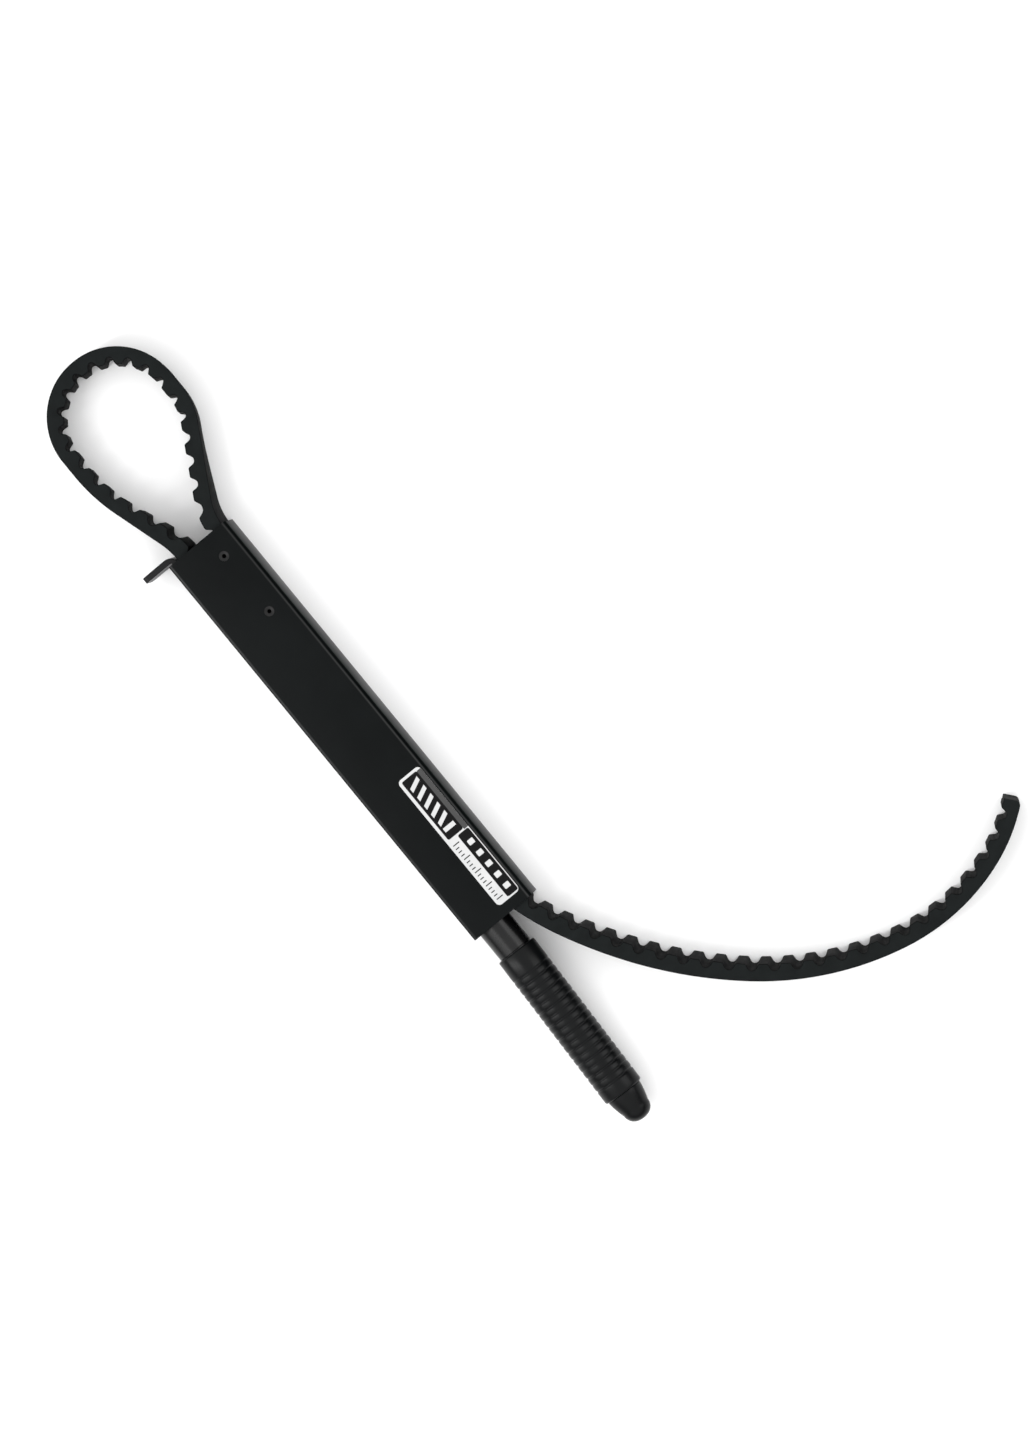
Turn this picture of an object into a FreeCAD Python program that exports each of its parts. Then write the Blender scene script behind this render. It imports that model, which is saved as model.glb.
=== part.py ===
# Strap wrench with a toothed belt, millimetres.
# +Y runs from the grip to the belt loop, +X to the side where the belt's free end leaves,
# +Z up. The origin is the centre of the housing's underside.
import FreeCAD, Part
import math
import os

V = FreeCAD.Vector
Z = V(0, 0, 1)

# ---- housing -------------------------------------------------------------------------------
housing_length = 248.0
housing_width = 37.5
housing_height = 27.0
sheet = 1.6                       # wall of the folded channel and of the back cover
bend_radius = 2.2                 # outer radius of the two folds
cover_gap = 0.05                  # side play of the cover between the walls
cover_inset = 0.5                 # from the channel's ends
cover_lug_length = 9.0
cover_lug_pitch = 104.0
front = housing_length / 2
rear = -front
wall_in = housing_width / 2 - sheet          # inner face of a side wall
face_in = housing_height - sheet             # inner side of the face

# ---- belt ----------------------------------------------------------------------------------
belt_width = 23.0
belt_bottom = 2.0
belt_back = 5.5                   # solid thickness behind the notches
belt_thick = 9.0                  # over the teeth
tooth_pitch = 12.2
tooth_top = 5.0
tooth_foot = 9.4
tooth_chamfer = 0.9
anchor_x = 17.0                   # back of the anchored end, beside the right wall
anchor_start = 66.0
left_x = -12.8                    # back of the working run, beside the slide bar
anchor_bend = 30.0
exit_x = 4.2                      # back of the free run, beside the rod
mouth_straight = 6.4              # the loop's first corners lie this far out of the housing
loop_right = 46.15
loop_left = -27.05
loop_front = 237.0
loop_radius = 36.2                # the two front corners
loop_right_y = 181.0              # where the right side turns in towards the mouth
loop_right_radius = 39.0
loop_left_y = 177.0
loop_left_radius = 96.0
mouth_radius = 40.0
cross_ys = (62.0, 16.0)           # the working run crosses over to the free run between these
cross_radius = 26.0
exit_y = -113.0
exit_radius = 40.0
exit_turn = 15.2                  # degrees from straight back
exit_run = 9.0
tail_corner = 2.6
# the free end's arcs: radius of the back, degrees turned
tail_arcs = ((158.7, 9.15), (241.0, 24.9), (167.2, 28.4), (115.6, 31.5), (95.3, 21.0))

# ---- anchor pins ---------------------------------------------------------------------------
pin_r = 2.7
pin_hole_r = 1.0
pin_x = 7.6
pin_front_inset = 13.8
pin_pitches = 3                   # whole teeth between the two pins

# ---- anvil ---------------------------------------------------------------------------------
anvil_left = -3.4
anvil_right = 4.4
anvil_front = 119.0
anvil_rear = 67.0
anvil_tooth_height = 2.0
anvil_tooth_base = 0.3            # straight foot of a tooth
anvil_tooth_foot = 4.4
anvil_tooth_top = 2.8
screw_r = 1.6
screw_head_r = 3.0
screw_head_h = 1.5
screw_length = 9.0
short_screw_length = 4.2          # under the rod bush and the bracket
slot_half = 0.4
slot_depth = 0.7
anvil_screw_insets = (8.0, 12.0)  # from the anvil's front and rear
anvil_corner = 3.0

# ---- handle rod and what rides on it --------------------------------------------------------
travel = 7.0
rod_x = -7.3
rod_z = housing_height / 2
rod_r = 9.5
rod_front = -46.0
rod_bend_y = -141.0               # the rod leans from here on, inside the grip
rod_lean = 2.1
rod_end = 86.5                    # length of the leaning part
rod_join = 2.0                    # the leaning part starts this far inside the straight one
rod_grip_r = 9.2                  # turned down under the grip
spigot_r = 3.0
spigot_length = 49.0
bar_thick = 3.3
bar_left = -wall_in + 0.3
bar_right = bar_left + bar_thick
bar_height = 18.0
bar_rear = -82.0
bar_recess = 2.0
recess_spare = 4.0                # recess beyond the travel
bar_land = 6.0
tab_gap = 1.2                     # between the tab and the housing's front edge
tab_reach = 15.2                  # how far the tab stands out beyond the wall
tab_bend = 5.5                    # outer radius of the tab's bend
bar_rivet_r = 2.0
bar_rivet_ys = (-56.0, -72.0)
bar_rivet_depth = 9.0
bar_rivet_chamfer = 0.5
tab_corner = 2.5

# ---- rod bush, spring and bracket ------------------------------------------------------------
bush_rear = rear + 1.5
bush_length = 22.0
bush_corner = 0.8                 # clears the fold
bush_right = 3.8
bush_screw_xs = (-6.5, 7.5)       # from the rod's axis
bush_screw_inset = 5.0
running = 0.06                    # radial play of the rod in its bush
bracket_front = -2.0
bracket_rear = -8.0
bracket_right = -0.4
bracket_screw_xs = (-2.4, 3.6)    # from the rod's axis
washer_thick = 1.0
washer_r = 5.9
sleeve_r = 4.0
wire_r = 0.7
coil_r = 5.0
coils = 9
ring_thick = 1.2
ring_r = 5.4
fit = 0.3                         # clear gap between parts that pass each other
touch = 0.02                      # gap between two faces that are pressed together
overlap = 0.5                     # how far two pieces run into each other before they are fused
groove_depth = 0.5
ring_bite = 0.45                  # how far the ring reaches into its groove
ring_side_play = 0.1
ring_opening = 3.2

# ---- guide posts -----------------------------------------------------------------------------
post_x = 15.0
post_r = 1.5
post_ys = (10.0, -103.0)
post_screw_r = 0.8

# ---- grip ------------------------------------------------------------------------------------
grip_front = 0.35                 # along the leaning axis, from the bend
grip_length = 91.6
grip_r = 11.2
grip_edge = 0.6                   # bevels at the grip's two ends
collar_length = 13.0
rib_pitch = 4.15
rib_count = 17
rib_height = 0.35
groove_part = 0.22                # part of the pitch that is groove
cap_r = 9.85
cap_length = 17.0
cap_bow = 0.6                     # how much the side has drawn in halfway to the shoulder
cap_shoulder_r = 7.75
cap_shoulder = 0.6                # part of the length
cap_nose = (5.2, 1.9)             # a point of the nose: radius, distance from the tip
cap_flat_r = 0.8
stud_r = 4.0
stud_length = 12.0

# ---- label -----------------------------------------------------------------------------------
label_x = (2.4, 16.8)
label_y = (-118.2, -36.0)
label_corner = 2.4
label_thick = 0.25


def box(x0, x1, y0, y1, z0, z1):
    return Part.makeBox(x1 - x0, y1 - y0, z1 - z0, V(x0, y0, z0))


def rod(radius, start, end):
    return Part.makeCylinder(radius, (end - start).Length, start, end - start)


def tube(outer, inner, start, end):
    return rod(outer, start, end).cut(rod(inner, start, end))


def save(name, shape):
    """Write one node; a group of separate pieces is one compound."""
    shape = shape.removeSplitter() if shape.ShapeType == "Solid" else shape
    shape.exportStep("parts/" + name + ".step")
    print(name, len(shape.Solids), "solid(s)", round(shape.Volume), "mm3", shape.isValid())


def group(shapes):
    return shapes[0] if len(shapes) == 1 else Part.makeCompound(shapes)


# ---- the belt's line -------------------------------------------------------------------------
def direction(angle):
    return V(math.cos(angle), math.sin(angle), 0)


class Line:
    def __init__(self, start, end):
        self.start = start
        self.angle = math.atan2(end.y - start.y, end.x - start.x)
        self.length = (end - start).Length

    def at(self, s):
        return self.start + direction(self.angle) * s, self.angle

    def edge(self, s0, s1):
        return Part.LineSegment(self.at(s0)[0], self.at(s1)[0]).toShape()


class Arc:
    """An arc of the belt's back; a positive turn is to the left, towards the teeth."""

    def __init__(self, start, angle, radius, turn):
        self.start = start
        self.angle = angle
        self.side = 1 if turn > 0 else -1
        self.radius = radius
        self.length = radius * abs(turn)
        self.centre = start + direction(angle + self.side * math.pi / 2) * radius

    def at(self, s):
        angle = self.angle + self.side * s / self.radius
        return self.centre - direction(angle + self.side * math.pi / 2) * self.radius, angle

    def edge(self, s0, s1):
        middle = self.at((s0 + s1) / 2)[0]
        return Part.Arc(self.at(s0)[0], middle, self.at(s1)[0]).toShape()


def rounded(corners):
    """Lines joined by tangent arcs; each corner is a point and its radius."""
    pieces = []
    here = corners[0][0]
    for (point, radius), (after, _) in zip(corners[1:-1], corners[2:]):
        a0 = math.atan2(point.y - here.y, point.x - here.x)
        a1 = math.atan2(after.y - point.y, after.x - point.x)
        turn = (a1 - a0 + math.pi) % (2 * math.pi) - math.pi
        reach = radius * math.tan(abs(turn) / 2)
        begin = point - direction(a0) * reach
        pieces.append(Line(here, begin))
        pieces.append(Arc(begin, a0, radius, turn))
        here = pieces[-1].at(pieces[-1].length)[0]
    pieces.append(Line(here, corners[-1][0]))
    return pieces


def belt_line():
    """The back of the whole belt, from the anchored end round the loop to the free end."""
    mouth = front + mouth_straight
    corners = [(V(anchor_x, anchor_start, 0), 0),
               (V(anchor_x, mouth, 0), anchor_bend),
               (V(loop_right, loop_right_y, 0), loop_right_radius),
               (V(loop_right, loop_front, 0), loop_radius),
               (V(loop_left, loop_front, 0), loop_radius),
               (V(loop_left, loop_left_y, 0), loop_left_radius),
               (V(left_x, mouth, 0), mouth_radius),
               (V(left_x, cross_ys[0], 0), cross_radius),
               (V(exit_x, cross_ys[1], 0), cross_radius),
               (V(exit_x, exit_y, 0), exit_radius)]
    angle = math.radians(exit_turn - 90)
    corners.append((corners[-1][0] + direction(angle) * exit_run, 0))
    pieces = rounded(corners)
    for radius, degrees in tail_arcs:
        end, angle = pieces[-1].at(pieces[-1].length)
        pieces.append(Arc(end, angle, radius, math.radians(degrees)))
    return pieces


line = belt_line()
starts = [sum(p.length for p in line[:i]) for i in range(len(line))]
belt_length = starts[-1] + line[-1].length


def on_belt(s, depth=0.0):
    """Point and heading at s along the back, depth into the belt."""
    i = max(i for i, s0 in enumerate(starts) if s0 <= s + 1e-9)
    point, angle = line[i].at(s - starts[i])
    return point + direction(angle + math.pi / 2) * depth, angle


pin_s = front - pin_front_inset - anchor_start        # a notch lies at the front pin


def tooth_profile(s0, s1):
    """Points (s, depth) of the toothed side between two places."""
    half = tooth_pitch / 2
    flat = (tooth_top - tooth_chamfer) / 2
    side = flat + tooth_chamfer
    right_half = ((flat, belt_thick), (side, belt_thick - tooth_chamfer), (tooth_foot / 2, belt_back))
    shape = tuple((-ds, d) for ds, d in right_half[::-1]) + right_half
    first = int((s0 - pin_s) // tooth_pitch) - 1
    last = int((s1 - pin_s) // tooth_pitch) + 1
    points = [(pin_s + half + k * tooth_pitch + ds, d) for k in range(first, last + 1) for ds, d in shape]
    inside = [p for p in points if s0 < p[0] < s1]

    def depth_at(s):
        for (a, da), (b, db) in zip(points, points[1:]):
            if a <= s <= b:
                return da + (db - da) * (s - a) / (b - a)
    return [(s0, depth_at(s0))] + inside + [(s1, depth_at(s1))]


def belt_piece(s0, s1):
    edges = []
    for s_start, piece in zip(starts, line):
        a = max(s0, s_start)
        b = min(s1, s_start + piece.length)
        if b - a > 1e-6:
            edges.append(piece.edge(a - s_start, b - s_start))
    side = [on_belt(s, d)[0] for s, d in tooth_profile(s0, s1)]
    outline = [on_belt(s1)[0]] + side[::-1] + [on_belt(s0)[0]]
    edges += [Part.LineSegment(a, b).toShape() for a, b in zip(outline, outline[1:])]
    face = Part.Face(Part.Wire(Part.__sortEdges__(edges)))
    solid = face.extrude(Z * belt_width)
    solid.translate(Z * belt_bottom)
    if s1 >= belt_length:         # the free end's outer corner is rounded
        end = on_belt(s1)[0]
        corner = [e for e in solid.Edges if abs(e.Length - belt_width) < 0.01
                  and math.hypot(e.CenterOfMass.x - end.x, e.CenterOfMass.y - end.y) < 0.01]
        solid = solid.makeFillet(tail_corner, corner)
    return solid


def notch_places(y0, y1):
    """Y of the belt's notches on the working run between two heights."""
    found = []
    k = 0
    while pin_s + k * tooth_pitch < belt_length:
        point = on_belt(pin_s + k * tooth_pitch)[0]
        if abs(point.x - left_x) < 0.01 and y0 < point.y < y1:
            found.append(point.y)
        k += 1
    return sorted(found, reverse=True)


# ---- parts -----------------------------------------------------------------------------------
def countersunk(x, y, length):
    """A countersunk screw from the underside, its head flush with the cover."""
    head = Part.makeCone(screw_head_r, screw_r, screw_head_h, V(x, y, 0), Z)
    shank = rod(screw_r, V(x, y, screw_head_h), V(x, y, length))
    slot = box(x - screw_head_r, x + screw_head_r, y - slot_half, y + slot_half, 0, slot_depth)
    return head.fuse(shank).cut(slot)


def screw_hole(x, y, length):
    head = Part.makeCone(screw_head_r, screw_r, screw_head_h, V(x, y, 0), Z)
    return head.fuse(rod(screw_r, V(x, y, 0), V(x, y, length)))


pin_ys = [front - pin_front_inset, front - pin_front_inset - pin_pitches * tooth_pitch]
anvil_middle = (anvil_left + anvil_right) / 2
anvil_screws = [(anvil_middle, anvil_front - anvil_screw_insets[0]),
                (anvil_middle, anvil_rear + anvil_screw_insets[1])]
bush_screws = [(rod_x + bush_screw_xs[0], bush_rear + bush_screw_inset),
               (rod_x + bush_screw_xs[1], bush_rear + bush_length - bush_screw_inset)]
bracket_middle = (bracket_front + bracket_rear) / 2
bracket_screws = [(rod_x + x, bracket_middle) for x in bracket_screw_xs]
lug_ys = [-cover_lug_pitch, 0.0, cover_lug_pitch]


def housing_channel():
    half = housing_width / 2
    outer = box(-half, half, rear, front, 0, housing_height)
    edges = [e for e in outer.Edges if abs(e.Length - housing_length) < 0.01
             and e.CenterOfMass.z > housing_height - 0.01]
    outer = outer.makeFillet(bend_radius, edges)
    inner = box(-wall_in, wall_in, rear, front, 0, face_in)
    edges = [e for e in inner.Edges if abs(e.Length - housing_length) < 0.01
             and e.CenterOfMass.z > face_in - 0.01]
    inner = inner.makeFillet(bend_radius - sheet, edges)
    shell = outer.cut(inner)
    for y in lug_ys:
        reach = cover_lug_length / 2 + cover_gap
        shell = shell.cut(box(-half, half, y - reach, y + reach, 0, sheet + cover_gap))
    for y in pin_ys:
        shell = shell.cut(rod(pin_r, V(pin_x, y, 0), V(pin_x, y, housing_height)))
    return shell


def back_cover():
    side = wall_in - cover_gap
    plate = box(-side, side, rear + cover_inset, front - cover_inset, 0, sheet)
    half = housing_width / 2
    for y in lug_ys:
        plate = plate.fuse(box(-half, half, y - cover_lug_length / 2, y + cover_lug_length / 2, 0, sheet))
    for y in pin_ys:
        plate = plate.cut(rod(pin_r, V(pin_x, y, 0), V(pin_x, y, sheet)))
    for x, y in anvil_screws + bush_screws + bracket_screws:
        plate = plate.cut(screw_hole(x, y, sheet))
    for y in post_ys:
        plate = plate.cut(rod(post_screw_r, V(post_x, y, 0), V(post_x, y, sheet)))
    return plate


def anchor_pin(y):
    """A tubular rivet across the housing, its ends flush with the face and the cover."""
    return tube(pin_r, pin_hole_r, V(pin_x, y, 0), V(pin_x, y, housing_height))


def toothed_anvil(tooth_ys):
    low = sheet
    block = box(anvil_left, anvil_right, anvil_rear, anvil_front, low, face_in)
    edges = [e for e in block.Edges if abs(e.Length - (face_in - low)) < 0.01]
    block = block.makeFillet(anvil_corner, edges)
    for y in tooth_ys:
        foot, top = anvil_tooth_foot / 2, anvil_tooth_top / 2
        root, base, tip = anvil_left + overlap, anvil_left - anvil_tooth_base, anvil_left - anvil_tooth_height
        corners = [V(root, y - foot, low), V(base, y - foot, low), V(tip, y - top, low),
                   V(tip, y + top, low), V(base, y + foot, low), V(root, y + foot, low)]
        face = Part.Face(Part.makePolygon(corners + corners[:1]))
        block = block.fuse(face.extrude(Z * (face_in - low)))
    for x, y in anvil_screws:
        block = block.cut(rod(screw_r, V(x, y, 0), V(x, y, screw_length)))
    return block.removeSplitter()


def slide_bar(tooth_ys):
    """The flat bar beside the belt, with two lands, and the thumb tab bent out at its front."""
    low = rod_z - bar_height / 2
    high = rod_z + bar_height / 2
    back = front + tab_gap
    tip = -housing_width / 2 - tab_reach
    bar = box(bar_left, bar_right, bar_rear, back + bar_thick, low, high)
    tab = box(tip, bar_right, back, back + bar_thick, low, high)
    both = bar.fuse(tab).removeSplitter()
    corner = [e for e in both.Edges if abs(e.Length - bar_height) < 0.01
              and (e.CenterOfMass - V(bar_right, back + bar_thick, rod_z)).Length < 0.01]
    both = both.makeFillet(tab_bend, corner)
    tips = [e for e in both.Edges if abs(e.Length - bar_thick) < 0.01 and abs(e.CenterOfMass.x - tip) < 0.01]
    both = both.makeFillet(tab_corner, tips)
    for y in tooth_ys:            # behind each land is the recess that frees the belt
        y1 = y - bar_land / 2
        both = both.cut(box(bar_right - bar_recess, bar_right + 1, y1 - travel - recess_spare, y1, low, high))
    for y in bar_rivet_ys:
        both = both.cut(rod(bar_rivet_r, V(bar_left, y, rod_z), V(bar_right, y, rod_z)))
    return both


def bar_rivet(y):
    shank = rod(bar_rivet_r, V(bar_left, y, rod_z), V(bar_left + bar_rivet_depth, y, rod_z))
    edge = [e for e in shank.Edges
            if e.Curve.TypeId == "Part::GeomCircle" and e.CenterOfMass.x > bar_left + 1]
    return shank.makeChamfer(bar_rivet_chamfer, edge)


def lean(shape):
    """Turn a piece made along the rod's straight axis to the leaning rear axis."""
    shape.rotate(V(rod_x, rod_bend_y, rod_z), Z, -rod_lean)
    return shape


def along(distance):
    """A point behind the bend, before the lean is applied."""
    return V(rod_x, rod_bend_y - distance, rod_z)


def handle_rod():
    body = rod(rod_r, V(rod_x, rod_bend_y, rod_z), V(rod_x, rod_front, rod_z))
    spigot_tip = V(rod_x, rod_front + spigot_length, rod_z)
    body = body.fuse(rod(spigot_r, V(rod_x, rod_front - overlap, rod_z), spigot_tip))
    groove_end = V(rod_x, groove_y() + ring_thick + ring_side_play, rod_z)
    body = body.cut(tube(spigot_r + 1, spigot_r - groove_depth, V(rod_x, groove_y(), rod_z), groove_end))
    body = body.cut(box(rod_x - rod_r - 1, bar_right, bar_rear - 1, rod_front + 1, 0, housing_height))
    for y in bar_rivet_ys:
        body = body.cut(rod(bar_rivet_r, V(bar_left, y, rod_z), V(bar_left + bar_rivet_depth, y, rod_z)))
    rear_part = rod(rod_grip_r, along(-rod_join), along(rod_end))
    rear_part = rear_part.cut(rod(stud_r, along(rod_end - stud_length - 1), along(rod_end)))
    return body.fuse(lean(rear_part))


def groove_y():
    """Rear side of the ring's groove, just in front of the bracket at rest."""
    return bracket_front + fit


def retaining_ring():
    y = groove_y()
    ring = tube(ring_r, spigot_r - ring_bite, V(rod_x, y, rod_z), V(rod_x, y + ring_thick, rod_z))
    half = ring_opening / 2
    return ring.cut(box(rod_x - half, rod_x + half, y - 1, y + ring_thick + 1, rod_z - ring_r - 1, rod_z - 1))


def spring_bracket():
    block = box(bar_right + fit, bracket_right, bracket_rear, bracket_front, sheet, face_in)
    bore = rod(spigot_r + running, V(rod_x, bracket_rear - 1, rod_z), V(rod_x, bracket_front + 1, rod_z))
    block = block.cut(bore)
    for x, y in bracket_screws:
        block = block.cut(rod(screw_r, V(x, y, 0), V(x, y, short_screw_length)))
    return block


def spring_washer():
    y = rod_front
    return tube(washer_r, spigot_r + running, V(rod_x, y, rod_z), V(rod_x, y + washer_thick, rod_z))


def stop_sleeve():
    """A tube on the spigot, inside the spring: it meets the bracket at the end of the travel."""
    start = V(rod_x, rod_front + washer_thick, rod_z)
    return tube(sleeve_r, spigot_r + running, start, V(rod_x, bracket_rear - travel - fit, rod_z))


def return_spring():
    length = bracket_rear - rod_front - washer_thick - 2 * fit - 2 * wire_r
    helix = Part.makeHelix(length / coils, length, coil_r)
    section = Part.Wire(Part.makeCircle(wire_r, V(coil_r, 0, 0), V(0, 1, 0)))
    coil = Part.Wire(helix).makePipeShell([section], True, True)
    coil.rotate(V(0, 0, 0), V(1, 0, 0), -90)
    coil.translate(V(rod_x, rod_front + washer_thick + fit + wire_r, rod_z))
    return coil


def rod_bush():
    y0, y1 = bush_rear, bush_rear + bush_length
    block = box(-wall_in + cover_gap, bush_right, y0, y1, sheet, face_in)
    corner = [e for e in block.Edges if abs(e.Length - bush_length) < 0.01
              and e.CenterOfMass.x < -wall_in + 1 and e.CenterOfMass.z > face_in - 0.01]
    block = block.makeFillet(bush_corner, corner)
    block = block.cut(rod(rod_r + running, V(rod_x, y0 - 1, rod_z), V(rod_x, y1 + 1, rod_z)))
    for x, y in bush_screws:
        block = block.cut(rod(screw_r, V(x, y, 0), V(x, y, short_screw_length)))
    return block


def guide_post(y):
    post = rod(post_r, V(post_x, y, sheet), V(post_x, y, face_in))
    return post.cut(rod(post_screw_r, V(post_x, y, 0), V(post_x, y, screw_length)))


def post_screw(y):
    return rod(post_screw_r, V(post_x, y, 0), V(post_x, y, screw_length - 1))


def grip_sleeve():
    """Smooth collar, a stretch of low ribs and a smooth end, revolved about the rod."""
    start = grip_front
    end = grip_front + grip_length
    points = [(rod_grip_r, start), (grip_r - grip_edge, start), (grip_r, start + grip_edge)]
    groove = groove_part * rib_pitch
    for i in range(rib_count + 1):
        y = start + collar_length + i * rib_pitch
        points += [(grip_r, y - groove), (grip_r - rib_height, y - groove / 2),
                   (grip_r - rib_height, y + groove / 2), (grip_r, y + groove)]
    points += [(grip_r, end - grip_edge), (grip_r - grip_edge, end), (rod_grip_r, end)]
    corners = [V(rod_x + r, rod_bend_y - y, rod_z) for r, y in points]
    face = Part.Face(Part.makePolygon(corners + corners[:1]))
    return lean(face.revolve(along(0), V(0, 1, 0), 360))


def end_cap():
    """Bullet-shaped nose with a stud that is pressed into the rod."""
    base = grip_front + grip_length + touch
    shoulder = base + cap_length * cap_shoulder
    tip = base + cap_length

    def at(r, y):
        return V(rod_x + r, rod_bend_y - y, rod_z)
    side = Part.Arc(at(cap_r, base), at(cap_r - cap_bow, (base + shoulder) / 2), at(cap_shoulder_r, shoulder))
    nose = Part.Arc(at(cap_shoulder_r, shoulder), at(cap_nose[0], tip - cap_nose[1]), at(cap_flat_r, tip))
    straight = [at(cap_flat_r, tip), at(0, tip), at(0, base), at(cap_r, base)]
    edges = [side.toShape(), nose.toShape()]
    edges += [Part.LineSegment(a, b).toShape() for a, b in zip(straight, straight[1:])]
    body = Part.Face(Part.Wire(edges)).revolve(along(0), V(0, 1, 0), 360)
    stud = rod(stud_r, along(base + overlap), along(rod_end - stud_length))
    return lean(body.fuse(stud).removeSplitter())


def label_plate():
    plate = box(label_x[0], label_x[1], label_y[0], label_y[1], housing_height, housing_height + label_thick)
    edges = [e for e in plate.Edges if abs(e.Length - label_thick) < 0.001]
    return plate.makeFillet(label_corner, edges)


os.makedirs("parts", exist_ok=True)
front_notch = notch_places(anvil_rear, anvil_front - anvil_tooth_foot)[0]
anvil_ys = [front_notch, front_notch - pin_pitches * tooth_pitch]
loop_end = next(s for s, piece in zip(starts, line) if s > pin_s and abs(piece.at(0)[0].x - left_x) < 0.01)
run_end = starts[-len(tail_arcs) - 2]
print("belt length", round(belt_length, 1), "anvil teeth at", [round(y, 1) for y in anvil_ys])

save("housing_channel", housing_channel())
save("back_cover", back_cover())
save("anchor_pins", group([anchor_pin(y) for y in pin_ys]))
save("belt_loop", belt_piece(0.0, loop_end))
save("belt_run", belt_piece(loop_end, run_end))
save("belt_tail", belt_piece(run_end, belt_length))
save("toothed_anvil", toothed_anvil(anvil_ys))
save("anvil_screws", group([countersunk(x, y, screw_length) for x, y in anvil_screws]))
save("slide_bar", slide_bar(anvil_ys))
save("bar_rivets", group([bar_rivet(y) for y in bar_rivet_ys]))
save("handle_rod", handle_rod())
save("retaining_ring", retaining_ring())
save("spring_bracket", spring_bracket())
save("bracket_screws", group([countersunk(x, y, short_screw_length) for x, y in bracket_screws]))
save("spring_washer", spring_washer())
save("stop_sleeve", stop_sleeve())
save("return_spring", return_spring())
save("rod_bush", rod_bush())
save("bush_screws", group([countersunk(x, y, short_screw_length) for x, y in bush_screws]))
save("guide_posts", group([guide_post(y) for y in post_ys]))
save("post_screws", group([post_screw(y) for y in post_ys]))
save("grip_sleeve", grip_sleeve())
save("end_cap", end_cap())
save("label_plate", label_plate())
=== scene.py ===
import bpy
import bmesh
from math import atan2, cos, hypot, pi, radians, sin, tan
from mathutils import Matrix, Vector


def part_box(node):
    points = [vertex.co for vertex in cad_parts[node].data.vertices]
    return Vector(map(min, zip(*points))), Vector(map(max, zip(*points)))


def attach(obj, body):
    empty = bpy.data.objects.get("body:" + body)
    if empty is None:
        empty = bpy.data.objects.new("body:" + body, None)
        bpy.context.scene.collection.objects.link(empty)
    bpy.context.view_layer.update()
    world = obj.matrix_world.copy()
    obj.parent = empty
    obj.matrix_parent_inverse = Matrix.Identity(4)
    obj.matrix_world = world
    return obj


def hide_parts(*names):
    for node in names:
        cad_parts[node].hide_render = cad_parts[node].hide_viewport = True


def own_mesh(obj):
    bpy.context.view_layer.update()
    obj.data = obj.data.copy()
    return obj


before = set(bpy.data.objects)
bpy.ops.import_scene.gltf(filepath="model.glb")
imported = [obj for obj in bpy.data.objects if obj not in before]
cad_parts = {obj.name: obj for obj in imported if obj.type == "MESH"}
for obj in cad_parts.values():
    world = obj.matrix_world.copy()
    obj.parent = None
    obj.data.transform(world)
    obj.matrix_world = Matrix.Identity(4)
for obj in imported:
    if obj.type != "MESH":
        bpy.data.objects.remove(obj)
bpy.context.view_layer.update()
scene = bpy.context.scene
mm = 0.001
past = 10 * mm                     # how far a cutter goes past the piece that it cuts
print("frame loaded:", len(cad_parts), "nodes")

# Places that several pieces share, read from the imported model.
housingLow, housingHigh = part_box("housing_channel")
rodLow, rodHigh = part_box("handle_rod")
labelLow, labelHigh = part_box("label_plate")
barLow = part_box("slide_bar")[0]


def meshObject(name, bm):
    mesh = bpy.data.meshes.new(name)
    bm.to_mesh(mesh)
    bm.free()
    thing = bpy.data.objects.new(name, mesh)
    scene.collection.objects.link(thing)
    return thing


def shadeByAngle(bm, degrees=32):
    # smooth faces, with the crisp edges marked
    for face in bm.faces:
        face.smooth = True
    for edge in bm.edges:
        edge.smooth = len(edge.link_faces) == 2 and edge.calc_face_angle(0) < radians(degrees)


def softenEdges(thing, width, segments=2, degrees=28):
    soft = thing.modifiers.new("softEdges", "BEVEL")
    soft.width = width
    soft.segments = segments
    soft.limit_method = "ANGLE"
    soft.angle_limit = radians(degrees)
    soft.harden_normals = True
    soft.use_clamp_overlap = True
    return thing


def dress(thing, body, finish, slotName, *replaced):
    # a finished piece: its material, its body, and the nodes that it stands for
    for one in finish if isinstance(finish, (list, tuple)) else [finish]:
        thing.data.materials.append(one)
    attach(thing, body)
    if replaced:
        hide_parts(*replaced)
    return thing


def softCopy(node, name, width=0.00025):
    # a merged copy of a CAD node with small rounded edges
    bm = bmesh.new()
    bm.from_mesh(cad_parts[node].data)
    bmesh.ops.remove_doubles(bm, verts=bm.verts, dist=1e-6)
    bmesh.ops.dissolve_limit(bm, angle_limit=radians(0.5), verts=bm.verts, edges=bm.edges,
                             delimit={"NORMAL"})
    shadeByAngle(bm, 28)
    return softenEdges(meshObject(name, bm), width)


def carve(thing, cutters):
    # takes the cutters' shapes out of a piece
    for cutter in cutters:
        cut = thing.modifiers.new("cut", "BOOLEAN")
        cut.operation = "DIFFERENCE"
        cut.solver = "EXACT"
        cut.object = cutter
    bpy.context.view_layer.update()
    solid = thing.evaluated_get(bpy.context.evaluated_depsgraph_get())
    carved = bpy.data.meshes.new_from_object(solid)
    thing.modifiers.clear()
    thing.data = carved
    for cutter in cutters:
        bpy.data.objects.remove(cutter)
    bm = bmesh.new()
    bm.from_mesh(carved)
    bmesh.ops.remove_doubles(bm, verts=bm.verts, dist=1e-6)
    shadeByAngle(bm, 28)
    bm.to_mesh(carved)
    bm.free()
    return thing


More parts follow.
